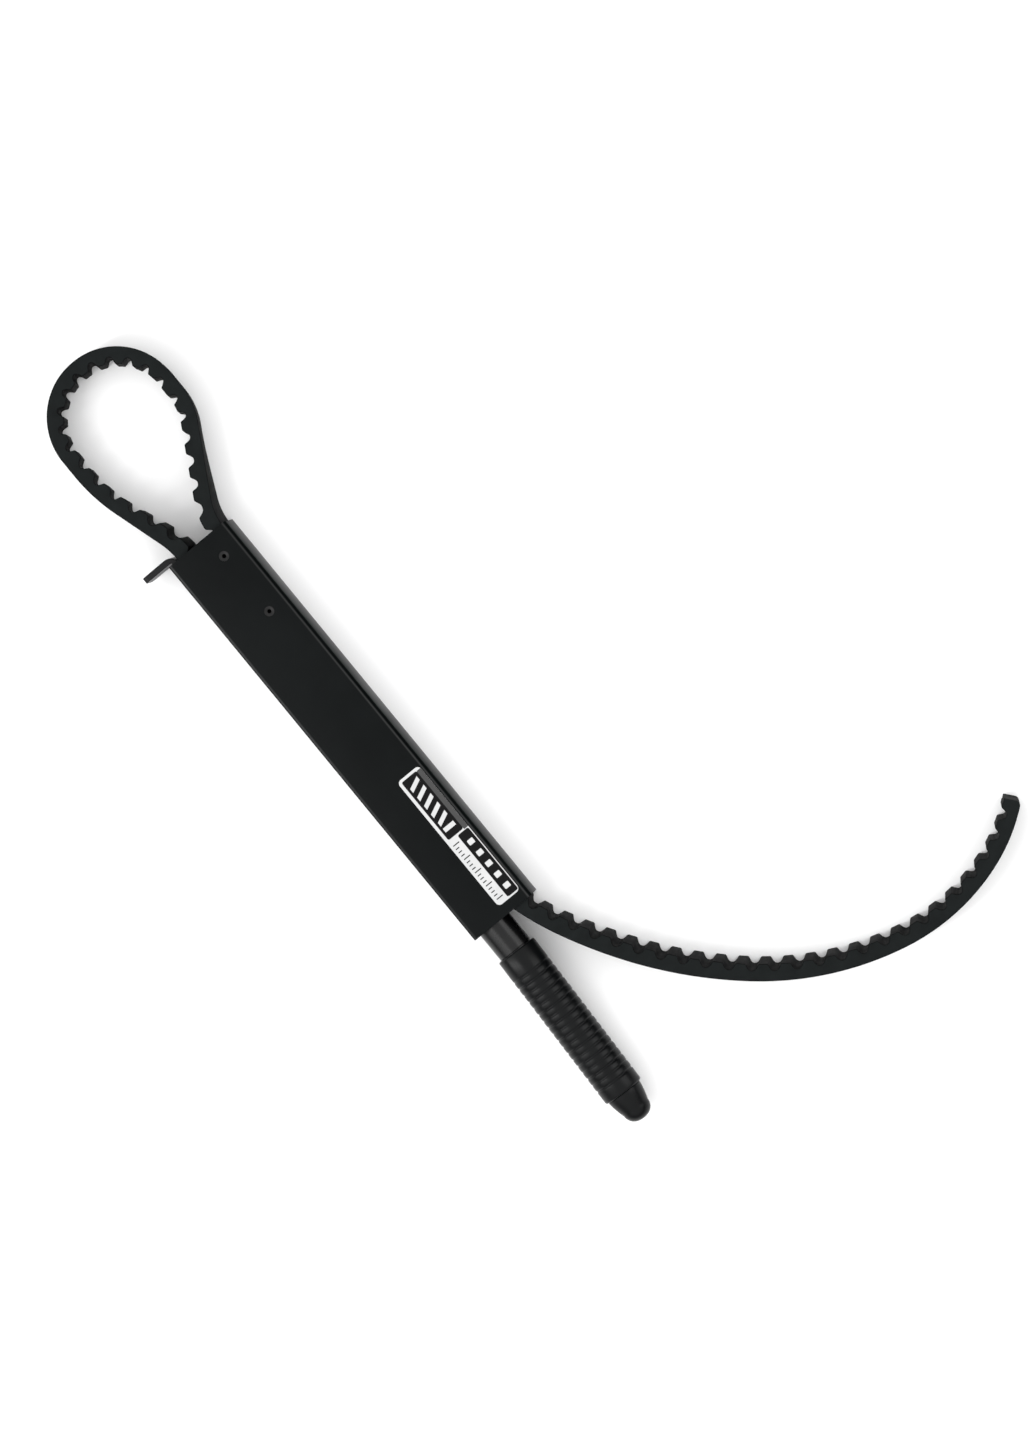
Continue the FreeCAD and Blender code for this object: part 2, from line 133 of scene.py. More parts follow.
def cylinderCutter(radius, start, end, sides=48):
    start, end = Vector(start), Vector(end)
    bm = bmesh.new()
    bmesh.ops.create_cone(bm, cap_ends=True, segments=sides, radius1=radius, radius2=radius,
                          depth=(end - start).length)
    turn = (end - start).to_track_quat("Z", "Y").to_matrix().to_4x4()
    bmesh.ops.transform(bm, matrix=Matrix.Translation((start + end) / 2) @ turn, verts=bm.verts)
    return meshObject("cutter", bm)


def boxCutter(low, high):
    bm = bmesh.new()
    bmesh.ops.create_cube(bm, size=1)
    size = Vector(high) - Vector(low)
    bmesh.ops.scale(bm, vec=size, verts=bm.verts)
    bmesh.ops.translate(bm, vec=(Vector(low) + Vector(high)) / 2, verts=bm.verts)
    return meshObject("cutter", bm)


def chain(bm, points, close=False):
    verts = [bm.verts.new(p) for p in points]
    edges = [bm.edges.new(pair) for pair in zip(verts, verts[1:])]
    if close:
        edges.append(bm.edges.new((verts[-1], verts[0])))
    return verts, edges


def turned(name, points, steps=96, degrees=32):
    # spins (radius, length) points round the -Y axis through the origin
    bm = bmesh.new()
    verts, edges = chain(bm, [(r, -y, 0) for r, y in points])
    bmesh.ops.spin(bm, geom=verts + edges, cent=(0, 0, 0), axis=(0, 1, 0), angle=2 * pi,
                   steps=steps, use_merge=True)
    bmesh.ops.remove_doubles(bm, verts=bm.verts, dist=1e-7)
    bmesh.ops.recalc_face_normals(bm, faces=bm.faces)
    shadeByAngle(bm, degrees)
    return meshObject(name, bm)


def placeMesh(thing, matrix):
    thing.data.transform(matrix)
    thing.data.update()
    return thing


def groupNode(name, inputs, outputs):
    group = bpy.data.node_groups.new(name, "ShaderNodeTree")
    for label, kind, value in inputs:
        socket = group.interface.new_socket(name=label, in_out="INPUT", socket_type=kind)
        if value is not None:
            socket.default_value = value
    for label, kind in outputs:
        group.interface.new_socket(name=label, in_out="OUTPUT", socket_type=kind)
    return group, group.nodes.new("NodeGroupInput"), group.nodes.new("NodeGroupOutput")


def addNode(tree, kind, values=None, **settings):
    node = tree.nodes.new(kind)
    for key, value in settings.items():
        setattr(node, key, value)
    for socket, value in (values or {}).items():
        node.inputs[socket].default_value = value
    return node


def grainGroup():
    # two sizes of noise added together, as a height
    group, given, out = groupNode("surfaceGrain", [
        ("Vector", "NodeSocketVector", None), ("Fine", "NodeSocketFloat", 2500.0),
        ("Coarse", "NodeSocketFloat", 400.0), ("Mix", "NodeSocketFloat", 0.35)],
        [("Height", "NodeSocketFloat")])
    link = group.links.new
    fine = addNode(group, "ShaderNodeTexNoise", {"Detail": 3.0, "Roughness": 0.6})
    coarse = addNode(group, "ShaderNodeTexNoise", {"Detail": 2.0, "Roughness": 0.5})
    mix = addNode(group, "ShaderNodeMix", data_type="FLOAT")
    link(given.outputs["Vector"], fine.inputs["Vector"])
    link(given.outputs["Vector"], coarse.inputs["Vector"])
    link(given.outputs["Fine"], fine.inputs["Scale"])
    link(given.outputs["Coarse"], coarse.inputs["Scale"])
    link(given.outputs["Mix"], mix.inputs["Factor"])
    link(fine.outputs["Fac"], mix.inputs["A"])
    link(coarse.outputs["Fac"], mix.inputs["B"])
    link(mix.outputs["Result"], out.inputs["Height"])
    return group


def patchGroup():
    # colour and roughness that wander slowly over a surface
    group, given, out = groupNode("tonePatches", [
        ("Vector", "NodeSocketVector", None), ("Scale", "NodeSocketFloat", 40.0),
        ("Dark", "NodeSocketColor", (0, 0, 0, 1)), ("Light", "NodeSocketColor", (1, 1, 1, 1)),
        ("Smooth", "NodeSocketFloat", 0.3), ("Rough", "NodeSocketFloat", 0.5)],
        [("Color", "NodeSocketColor"), ("Roughness", "NodeSocketFloat")])
    link = group.links.new
    noise = addNode(group, "ShaderNodeTexNoise", {"Detail": 4.0, "Roughness": 0.6})
    spread = addNode(group, "ShaderNodeMapRange", {"From Min": 0.3, "From Max": 0.7})
    tone = addNode(group, "ShaderNodeMix", data_type="RGBA")
    gloss = addNode(group, "ShaderNodeMix", data_type="FLOAT")
    link(given.outputs["Vector"], noise.inputs["Vector"])
    link(given.outputs["Scale"], noise.inputs["Scale"])
    link(noise.outputs["Fac"], spread.inputs["Value"])
    link(spread.outputs["Result"], tone.inputs["Factor"])
    link(given.outputs["Dark"], tone.inputs[6])
    link(given.outputs["Light"], tone.inputs[7])
    link(spread.outputs["Result"], gloss.inputs["Factor"])
    link(given.outputs["Smooth"], gloss.inputs["A"])
    link(given.outputs["Rough"], gloss.inputs["B"])
    link(tone.outputs[2], out.inputs["Color"])
    link(gloss.outputs["Result"], out.inputs["Roughness"])
    return group


def scratchGroup():
    # long fine lines along one axis: the Stretch vector squeezes the other two
    group, given, out = groupNode("drawnLines", [
        ("Vector", "NodeSocketVector", None), ("Stretch", "NodeSocketVector", (4000, 60, 4000))],
        [("Height", "NodeSocketFloat")])
    link = group.links.new
    pull = addNode(group, "ShaderNodeVectorMath", operation="MULTIPLY")
    noise = addNode(group, "ShaderNodeTexNoise", {"Scale": 1.0, "Detail": 4.0, "Roughness": 0.7})
    link(given.outputs["Vector"], pull.inputs[0])
    link(given.outputs["Stretch"], pull.inputs[1])
    link(pull.outputs["Vector"], noise.inputs["Vector"])
    link(noise.outputs["Fac"], out.inputs["Height"])
    return group


groups = {"grain": grainGroup(), "patches": patchGroup(), "lines": scratchGroup()}


def finishMaterial(name, dark, light, rough, scale=40.0, grain=None, lines=None, metallic=0.0,
                   specular=0.5):
    # a rubber, paint or metal: slow patches between two tones and two roughnesses,
    # grain (fine scale, coarse scale, mix, depth) and drawn lines (stretch, depth) as bumps
    made = bpy.data.materials.new(name)
    made.use_nodes = True
    tree = made.node_tree
    link = tree.links.new
    shader = tree.nodes["Principled BSDF"]
    shader.inputs["Metallic"].default_value = metallic
    shader.inputs["Specular IOR Level"].default_value = specular
    place = tree.nodes.new("ShaderNodeTexCoord").outputs["Object"]
    patches = addNode(tree, "ShaderNodeGroup", node_tree=groups["patches"])
    for socket, value in (("Scale", scale), ("Dark", (*dark, 1)), ("Light", (*light, 1)),
                          ("Smooth", rough[0]), ("Rough", rough[1])):
        patches.inputs[socket].default_value = value
    link(place, patches.inputs["Vector"])
    link(patches.outputs["Color"], shader.inputs["Base Color"])
    link(patches.outputs["Roughness"], shader.inputs["Roughness"])
    normal = None
    if grain:
        fine, coarse, mix, depth = grain
        bumps = addNode(tree, "ShaderNodeGroup", node_tree=groups["grain"])
        for socket, value in (("Fine", fine), ("Coarse", coarse), ("Mix", mix)):
            bumps.inputs[socket].default_value = value
        link(place, bumps.inputs["Vector"])
        bump = addNode(tree, "ShaderNodeBump", {"Strength": 1.0, "Distance": depth})
        link(bumps.outputs["Height"], bump.inputs["Height"])
        normal = bump.outputs["Normal"]
    if lines:
        stretch, depth = lines
        drawn = addNode(tree, "ShaderNodeGroup", node_tree=groups["lines"])
        drawn.inputs["Stretch"].default_value = stretch
        link(place, drawn.inputs["Vector"])
        bump = addNode(tree, "ShaderNodeBump", {"Strength": 1.0, "Distance": depth})
        link(drawn.outputs["Height"], bump.inputs["Height"])
        if normal:
            link(normal, bump.inputs["Normal"])
        normal = bump.outputs["Normal"]
    if normal:
        link(normal, shader.inputs["Normal"])
    return made


powderCoat = finishMaterial("blackPowderCoat", (0.0018, 0.0024, 0.0025), (0.0032, 0.0041, 0.0042),
                            (0.30, 0.40), 25, grain=(2200, 650, 0.5, 0.000012), specular=0.05)
blackOxide = finishMaterial("blackOxide", (0.003, 0.0031, 0.0032), (0.0052, 0.0055, 0.0058),
                            (0.32, 0.46), 60, grain=(3000, 500, 0.4, 0.00001), specular=0.12)
pinSteel = finishMaterial("pinSteel", (0.007, 0.007, 0.007), (0.012, 0.012, 0.012),
                          (0.35, 0.5), 300, grain=(3000, 900, 0.4, 0.00001), specular=0.14)
# painted shade for the rivets' bores: darker and rougher than the pin steel
paintedBoreShade = finishMaterial("paintedBoreShade", (0.0015, 0.0015, 0.0015), (0.0025, 0.0025, 0.0025),
                           (0.7, 0.85), 300, grain=(3000, 900, 0.4, 0.00001), specular=0.05)
glossBlack = finishMaterial("glossBlackRod", (0.0018, 0.0018, 0.0019), (0.003, 0.003, 0.0032),
                            (0.24, 0.30), 70, lines=((3000, 40, 3000), 0.0000012), specular=0.24)
beltSide = finishMaterial("beltCutSide", (0.0038, 0.0049, 0.0050), (0.0078, 0.0094, 0.0095),
                          (0.65, 0.82), 120, grain=(2600, 700, 0.35, 0.00006), specular=0.08)
beltRubber = finishMaterial("beltMouldedRubber", (0.0008, 0.0009, 0.0010), (0.0014, 0.0016, 0.0017),
                            (0.6, 0.75), 90, grain=(3500, 900, 0.4, 0.00002), specular=0.04)
gripRubber = finishMaterial("gripRubber", (0.0016, 0.0019, 0.0021), (0.0030, 0.0034, 0.0037),
                            (0.27, 0.35), 80, grain=(3200, 800, 0.35, 0.000010), specular=0.12)
brightSteel = finishMaterial("brightSteel", (0.36, 0.36, 0.37), (0.5, 0.5, 0.5), (0.2, 0.38), 120,
                             lines=((3000, 3000, 60), 0.000004), metallic=1.0)
springSteel = finishMaterial("springSteel", (0.2, 0.2, 0.21), (0.34, 0.34, 0.34), (0.25, 0.42), 160,
                             grain=(3000, 900, 0.4, 0.00001), metallic=1.0)
zincPlate = finishMaterial("zincPlate", (0.42, 0.42, 0.4), (0.6, 0.59, 0.55), (0.28, 0.45), 200,
                           grain=(2500, 800, 0.5, 0.00001), metallic=1.0)
bushPlastic = finishMaterial("bushPlastic", (0.012, 0.012, 0.0125), (0.02, 0.02, 0.021), (0.5, 0.62), 70,
                             grain=(2600, 700, 0.5, 0.00002), specular=0.3)
labelWhite = finishMaterial("labelWhite", (0.44, 0.445, 0.445), (0.49, 0.49, 0.49), (0.3, 0.42), 90,
                            grain=(1800, 500, 0.5, 0.000006))
labelBlack = finishMaterial("labelBlack", (0.0014, 0.0014, 0.0015), (0.0024, 0.0024, 0.0026),
                            (0.3, 0.42), 90, grain=(1800, 500, 0.5, 0.000006), specular=0.08)
labelGrey = finishMaterial("labelGrey", (0.042, 0.042, 0.042), (0.052, 0.052, 0.052), (0.3, 0.42), 90,
                           grain=(1800, 500, 0.5, 0.000006), specular=0.12)

# painted sheen: the coat's specular level by height, as shares of the housing's, raised low on the walls
# and along the folds so that highlights show there
paintedSheenByHeight = [(0.0, 0.16), (0.45, 0.04), (0.8, 0.0), (0.965, 0.0), (0.99, 0.3), (0.998, 0.05)]


def paintSheenOnCoat(material):
    # paints sheen: a ramp over the height sets the coat's specular level, for painted highlights low on
    # the walls and on the folds
    tree = material.node_tree
    place = addNode(tree, "ShaderNodeTexCoord")
    height = addNode(tree, "ShaderNodeSeparateXYZ")
    share = addNode(tree, "ShaderNodeMapRange", {"From Min": 0.0, "From Max": housingHigh.z})
    gloss = addNode(tree, "ShaderNodeValToRGB")
    ramp = gloss.color_ramp
    while len(ramp.elements) < len(paintedSheenByHeight):
        ramp.elements.new(0.5)
    for element, (where, value) in zip(ramp.elements, paintedSheenByHeight):
        element.position = where
        element.color = (value, value, value, 1)
    tree.links.new(place.outputs["Object"], height.inputs["Vector"])
    tree.links.new(height.outputs["Z"], share.inputs["Value"])
    tree.links.new(share.outputs["Result"], gloss.inputs["Fac"])
    tree.links.new(gloss.outputs["Color"], tree.nodes["Principled BSDF"].inputs["Specular IOR Level"])


paintSheenOnCoat(powderCoat)
print("materials made")


# The camera looks nearly straight down, leaning a little to +X, with the tool turned in its view.
cameraView = {
    "lookAt": (0.0713, -0.0504, 0.027),
    "distance": 2.75,
    "lean": 8.35,                  # degrees from straight down
    "leanSide": -4.0,              # degrees from +X to the side it leans to
    "turn": 39.72,                 # degrees from +Y to the view's up
    "viewHeight": 0.7358,          # metres that the view takes in, at the tool
    "sensor": 36.0,
}


def makeCamera():
    v = cameraView
    lean, leanSide, turn = (radians(v[name]) for name in ("lean", "leanSide", "turn"))
    back = Vector((sin(lean) * cos(leanSide), sin(lean) * sin(leanSide), cos(lean)))
    up = Vector((sin(turn), cos(turn), 0))
    up = (up - back * up.dot(back)).normalized()
    right = up.cross(back)
    data = bpy.data.cameras.new("camera")
    data.sensor_width = v["sensor"]
    data.lens = v["sensor"] * v["distance"] / v["viewHeight"]
    data.clip_end = 20
    camera = bpy.data.objects.new("camera", data)
    place = Matrix((right, up, back)).transposed().to_4x4()
    place.translation = Vector(v["lookAt"]) + back * v["distance"]
    camera.matrix_world = place
    scene.collection.objects.link(camera)
    scene.camera = camera


studio = {
    "sky": 1.6,                    # strength overhead
    "horizon": 0.12,               # share of it at the horizon
    "paper": 0.9,                  # how pale the floor is
    "softBoxes": {
        "leftSoftBox": {"place": (-1.35, 0.2, 1.45), "aimX": 0.0, "size": (0.38, 1.8), "power": 20},
        "rightSoftBox": {"place": (1.9, -0.5, 1.3), "aimX": 0.05, "size": (0.9, 1.6), "power": 13},
    },
}


def makeSoftBox(name, box):
    data = bpy.data.lights.new(name, "AREA")
    data.shape = "RECTANGLE"
    data.size, data.size_y = box["size"]
    data.energy = box["power"]
    light = bpy.data.objects.new(name, data)
    light.location = box["place"]
    aim = Vector((box["aimX"], 0, 0)) - light.location
    light.rotation_euler = aim.to_track_quat("-Z", "Y").to_euler()
    scene.collection.objects.link(light)


def makeSky():
    # a plain studio: grey at the horizon, white overhead
    world = bpy.data.worlds.new("studio")
    world.use_nodes = True
    tree = world.node_tree
    sky = tree.nodes["Background"]
    sky.inputs["Strength"].default_value = studio["sky"]
    place = addNode(tree, "ShaderNodeTexCoord")
    height = addNode(tree, "ShaderNodeSeparateXYZ")
    fade = addNode(tree, "ShaderNodeMapRange",
                   {"From Min": 0.05, "From Max": 0.75, "To Min": studio["horizon"], "To Max": 1.0},
                   interpolation_type="SMOOTHSTEP")
    tree.links.new(place.outputs["Generated"], height.inputs["Vector"])
    tree.links.new(height.outputs["Z"], fade.inputs["Value"])
    tree.links.new(fade.outputs["Result"], sky.inputs["Color"])
    scene.world = world


def makeFloor():
    bm = bmesh.new()
    bmesh.ops.create_grid(bm, x_segments=1, y_segments=1, size=4)
    floor = meshObject("floor", bm)
    paper = bpy.data.materials.new("palePaper")
    paper.use_nodes = True
    shader = paper.node_tree.nodes["Principled BSDF"]
    shader.inputs["Base Color"].default_value = (*[studio["paper"]] * 3, 1)
    shader.inputs["Roughness"].default_value = 0.9
    floor.data.materials.append(paper)


makeCamera()
makeSky()
for boxName, softBox in studio["softBoxes"].items():
    makeSoftBox(boxName, softBox)
makeFloor()
scene.view_settings.view_transform = "Standard"
print("camera and stage made")


# One moulded belt: smooth back, flat-topped teeth with rounded valleys between them.
# Its line is the same as in the CAD model: corners with radii, then the free end's arcs.
belt = {
    "width": 23.0,
    "bottom": 2.0,
    "thick": 9.0,
    "pitch": 12.2,
    "edge": 0.55,                  # rounding of the long edges
    "corners": [(17.0, 66.0, 0), (17.0, 130.4, 30), (46.15, 181.0, 39), (46.15, 237.0, 36.2),
                (-27.05, 237.0, 36.2), (-27.05, 177.0, 96), (-12.8, 130.4, 40), (-12.8, 62.0, 26),
                (4.2, 16.0, 26), (4.2, -113.0, 40)],
    "exitTurn": 15.2,              # degrees that it turns to +X where it leaves the housing
    "exitRun": 9.0,                # straight stretch before the free end's arcs
    "tailArcs": [(158.7, 9.15), (241.0, 24.9), (167.2, 28.4), (115.6, 31.5), (95.3, 21.0)],
    "firstNotch": 44.2,            # along the belt, at the front anchor pin
    "loopTilt": 8.0,               # degrees that the loop's section leans to +X
    "tiltRun": 45.0,               # it starts at the mouth and is full this far ahead of it
    "tailTilt": 3.3,               # degrees that the free end leans away from its teeth
    "drop": 1.8,                   # the loop and the free end sink to the floor
    "dropRun": 60.0,               # in this distance from the housing
    "tipRounding": 2.6,            # radius of the free end's outer corner
}
# half a tooth, from the middle of its top: place along the belt and depth from the back
toothShape = [(0.0, 9.0), (1.2, 9.0), (1.9, 9.0), (2.35, 8.93), (2.7, 8.68), (3.0, 8.25), (3.35, 7.65),
              (3.85, 6.85), (4.4, 6.15), (4.95, 5.72), (5.5, 5.55), (6.1, 5.5)]


def alongPiece(piece, s):
    # the point and the heading at a place on one straight or round piece
    start, heading, _, bend = piece
    if bend == 0:
        return start + Vector((cos(heading), sin(heading))) * s, heading
    centre = start + Vector((-sin(heading), cos(heading))) / bend
    newHeading = heading + s * bend
    return centre - Vector((-sin(newHeading), cos(newHeading))) / bend, newHeading


def beltLine():
    # pieces of the back's line: start, heading, length and curvature (left is positive)
    pieces = []
    corners = [Vector((x, y)) for x, y, _ in belt["corners"]]
    exitAngle = radians(belt["exitTurn"] - 90)
    corners.append(corners[-1] + belt["exitRun"] * Vector((cos(exitAngle), sin(exitAngle))))
    here = corners[0]
    for i in range(1, len(corners) - 1):
        radius = belt["corners"][i][2]
        inward, onward = corners[i] - here, corners[i + 1] - corners[i]
        heading = atan2(inward.y, inward.x)
        bend = (atan2(onward.y, onward.x) - heading + pi) % (2 * pi) - pi
        reach = radius * tan(abs(bend) / 2)
        pieces.append((here.copy(), heading, inward.length - reach, 0.0))
        begin = corners[i] - inward.normalized() * reach
        pieces.append((begin, heading, radius * abs(bend), (1 if bend > 0 else -1) / radius))
        here = corners[i] + onward.normalized() * reach
    last = corners[-1] - here
    pieces.append((here.copy(), atan2(last.y, last.x), last.length, 0.0))
    for radius, degrees in belt["tailArcs"]:
        point, heading = alongPiece(pieces[-1], pieces[-1][2])
        pieces.append((point, heading, radius * radians(degrees), 1 / radius))
    return pieces


beltPieces = beltLine()
beltLength = sum(piece[2] for piece in beltPieces)


def onBelt(s):
    for piece in beltPieces:
        if s <= piece[2] or piece is beltPieces[-1]:
            return alongPiece(piece, s)
        s -= piece[2]


def smoothStep(t):
    t = min(max(t, 0.0), 1.0)
    return t * t * (3 - 2 * t)


def inFreeEnd(s):
    return s > beltLength / 2


def beltLean(s):
    # how far the section leans for each millimetre of height, in the loop and in the free end
    point, heading = onBelt(s)
    if inFreeEnd(s):
        outside = smoothStep((s - exitPlace) / belt["dropRun"])
        return Vector((sin(heading), -cos(heading))) * tan(radians(belt["tailTilt"])) * outside
    outside = smoothStep((point.y - housingHigh.y / mm) / belt["tiltRun"])
    return Vector((tan(radians(belt["loopTilt"])) * outside, 0))


def beltDrop(s):
    # how far the belt has sunk: nothing inside the housing, then down to the floor
    front, rear = housingHigh.y / mm, housingLow.y / mm
    point, _ = onBelt(s)
    outside = max(point.y - front, rear - point.y)
    if inFreeEnd(s):
        outside = s - exitPlace
    return belt["drop"] * smoothStep(outside / belt["dropRun"])


def whereBeltLeaves():
    # the place along the belt at the housing's rear end, to half a millimetre
    s = beltLength * 0.6
    while onBelt(s)[0].y > housingLow.y / mm:
        s += 0.5
    return s


exitPlace = whereBeltLeaves()


def beltStations():
    # places along the belt where its section is drawn, and the depth there
    pitch, r = belt["pitch"], belt["tipRounding"]
    tooth = [(-place, depth) for place, depth in toothShape[:0:-1]] + toothShape[:-1]
    stations = []
    middle = belt["firstNotch"] % pitch - pitch / 2
    while middle < beltLength + pitch / 2:
        stations += [(middle + place, depth) for place, depth in tooth]
        middle += pitch
    stations = [(s, depth) for s, depth in stations if 0.2 < s < beltLength - 0.2]
    firstDepth, lastDepth = stations[0][1], stations[-1][1]
    stations = [(0.0, firstDepth)] + [(s, depth) for s, depth in stations if s < beltLength - r]
    for i in range(9):                 # close together where the free end is round
        stations.append((beltLength - r * (1 - sin(i / 8 * pi / 2)), lastDepth))
    return stations


def straightBelt(stations):
    width, edge = belt["width"], belt["edge"]
    bm = bmesh.new()
    # the section: depth along X, height along Z, its corners rounded
    bmesh.ops.create_grid(bm, x_segments=1, y_segments=1, size=0.5)
    bmesh.ops.delete(bm, geom=bm.faces[:], context="FACES_ONLY")
    bmesh.ops.scale(bm, vec=(belt["thick"], width, 1), verts=bm.verts)
    bmesh.ops.bevel(bm, geom=bm.verts[:], offset=edge, segments=3, profile=0.5, affect="VERTICES",
                    material=-1)
    bmesh.ops.rotate(bm, matrix=Matrix.Rotation(pi / 2, 3, "X"), verts=bm.verts)
    bmesh.ops.translate(bm, vec=(belt["thick"] / 2, 0, belt["bottom"] + width / 2), verts=bm.verts)
    # the section is drawn out station by station, straight, along Y
    edges = bm.edges[:]
    rows = [[v for v in bm.verts]]
    for (s0, _), (s1, _) in zip(stations, stations[1:]):
        made = bmesh.ops.extrude_edge_only(bm, edges=edges)["geom"]
        verts = [g for g in made if isinstance(g, bmesh.types.BMVert)]
        edges = [g for g in made if isinstance(g, bmesh.types.BMEdge)
                 and all(v in verts for v in g.verts)]
        bmesh.ops.translate(bm, vec=(0, s1 - s0, 0), verts=verts)
        rows.append(verts)
    bmesh.ops.holes_fill(bm, edges=[e for e in bm.edges if e.is_boundary], sides=0)
    return bm, rows


def depthFromBack(d, depth, tip):
    # the tooth side follows the teeth, and the free end's outer corner is round
    r = belt["tipRounding"]
    if d > belt["thick"] / 2:
        d += depth - belt["thick"]
    if tip < r:
        d = max(d, r - (r * r - (r - tip) ** 2) ** 0.5)
    return d


def makeBelt():
    stations = beltStations()
    bm, rows = straightBelt(stations)
    uvLayer = bm.loops.layers.uv.new("alongBelt")
    placeOf = {}
    for row, (s, depth) in zip(rows, stations):
        point, heading = onBelt(s)
        left = Vector((-sin(heading), cos(heading)))
        drop, lean = beltDrop(s), beltLean(s)
        for v in row:
            d = depthFromBack(v.co.x, depth, beltLength - s)
            placeOf[v] = (s, d, v.co.z)
            spot = point + left * d + lean * (v.co.z - belt["bottom"] - belt["width"])
            v.co = Vector((spot.x, spot.y, v.co.z - drop)) * mm
    for face in bm.faces:
        for loop in face.loops:
            s, d, z = placeOf[loop.vert]
            loop[uvLayer].uv = (s * mm, (z + d) * mm)
    bmesh.ops.recalc_face_normals(bm, faces=bm.faces)
    for face in bm.faces:              # the cut sides are duller than the moulded faces
        face.material_index = 1 if abs(face.normal.z) > 0.9 else 0
    shadeByAngle(bm, 40)
    return meshObject("toothedBelt", bm)


dress(makeBelt(), "root", [beltRubber, beltSide], "belt_rubber", "belt_loop", "belt_run", "belt_tail")
print("belt made,", round(beltLength), "mm")


housing = {
    "sheet": 1.6,
    "bend": 2.2,                   # outer radius of the folds
    "bendSteps": 8,
    "edge": 0.3,
    "lugLength": 9.1,              # of the notches for the cover's lugs
    "lugPitch": 104.0,
}
pinLow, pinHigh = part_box("anchor_pins")
pinX, pinRadius = (pinLow.x + pinHigh.x) / 2, (pinHigh.x - pinLow.x) / 2
pinYs = [pinHigh.y - pinRadius, pinLow.y + pinRadius]


def makeHousing():
    low, high = housingLow, housingHigh
    bm = bmesh.new()
    path = [(low.x, low.y, 0), (low.x, low.y, high.z), (high.x, low.y, high.z), (high.x, low.y, 0)]
    verts, edges = chain(bm, path)
    bmesh.ops.bevel(bm, geom=verts[1:3], offset=housing["bend"] * mm, segments=housing["bendSteps"],
                    profile=0.5, affect="VERTICES", material=-1)
    made = bmesh.ops.extrude_edge_only(bm, edges=bm.edges[:])["geom"]
    bmesh.ops.translate(bm, vec=(0, high.y - low.y, 0),
                        verts=[g for g in made if isinstance(g, bmesh.types.BMVert)])
    bmesh.ops.recalc_face_normals(bm, faces=bm.faces)
    if sum(f.normal.z for f in bm.faces) < 0:
        bmesh.ops.reverse_faces(bm, faces=bm.faces[:])
    bmesh.ops.solidify(bm, geom=bm.faces[:], thickness=housing["sheet"] * mm)
    bmesh.ops.recalc_face_normals(bm, faces=bm.faces)
    shell = meshObject("housingShell", bm)
    # holes for the pins, and notches for the cover's lugs
    sheet, half = housing["sheet"] * mm, housing["lugLength"] * mm / 2
    cutters = []
    for y in pinYs:
        cutters.append(cylinderCutter(pinRadius, (pinX, y, high.z - past), (pinX, y, high.z + past)))
    for y in (-housing["lugPitch"] * mm, 0.0, housing["lugPitch"] * mm):
        cutters.append(boxCutter((low.x - past, y - half, -past), (high.x + past, y + half, sheet)))
    return softenEdges(carve(shell, cutters), housing["edge"] * mm, 3)


dress(makeHousing(), "root", powderCoat, "black_powder_coat", "housing_channel")
dress(softCopy("back_cover", "backCover"), "root", powderCoat, "black_powder_coat", "back_cover")
print("housing made")


# Tubular rivets, each with a rolled rim round a small hole.
pins = {
    "hole": 1.0,
    "rim": 0.35,                   # width of the roll, at the hole and at the outside
    "fall": 0.12,                  # how far the face falls towards the hole
    "sides": 40,
}


def pinOutline():
    # one end from the hole to the outside, then the other end back: radius and height
    r, length = pinRadius / mm, housingHigh.z / mm
    hole, rim, fall = pins["hole"], pins["rim"], pins["fall"]
    end = [(hole, 0.6), (hole + rim * 0.3, 0.25), (hole + rim, fall), (r - rim, 0.02), (r - 0.1, 0.0),
           (r, fall)]
    return end + [(a, length - b) for a, b in end[::-1]] + end[:1]


def makePin(name, y):
    pin = turned(name, [(a * mm, b * mm) for a, b in pinOutline()], pins["sides"])
    placeMesh(pin, Matrix.Translation((pinX, y, housingHigh.z)) @ Matrix.Rotation(pi / 2, 4, "X"))
    for face in pin.data.polygons:     # the bore gets a darker, rougher material: painted shade inside the hole
        away = hypot(face.center.x - pinX, face.center.y - y)
        face.material_index = 1 if away < (pins["hole"] + 0.05) * mm else 0
    return pin


pinFinish = [pinSteel, paintedBoreShade]
dress(makePin("anchorPinFront", pinYs[0]), "root", pinFinish, "black_oxide_steel", "anchor_pins")
dress(makePin("anchorPinRear", pinYs[1]), "root", pinFinish, "black_oxide_steel")


# The handle's rod: a straight front part with a thin spigot, and a rear part that leans with the grip.
rod = {
    "radius": 9.5,
    "chamfer": 0.4,
    "spigot": 3.0,                 # radius of the thin front end
    "groove": 0.5,                 # depth of the retaining ring's groove
    "grooveRoom": 0.1,             # play in front of the ring
    "bendAt": -141.0,              # the rear part starts here
    "lean": 2.1,                   # degrees
    "step": 0.35,                  # slope down to the rear part
    "rearRadius": 9.2,
    "rearLength": 86.4,
    "bore": 4.1,                   # blind hole in the rear end
    "boreDepth": 12.9,
    "flat": -13.55,                # the slide bar lies against the rod's flat here
    "sides": 96,
}
washerLow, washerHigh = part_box("spring_washer")
spigotX, rodZ = (washerLow.x + washerHigh.x) / 2, (washerLow.z + washerHigh.z) / 2
leanTurn = Matrix.Rotation(-radians(rod["lean"]), 4, "Z")
leanPlace = Matrix.Translation((spigotX, rod["bendAt"] * mm, rodZ)) @ leanTurn


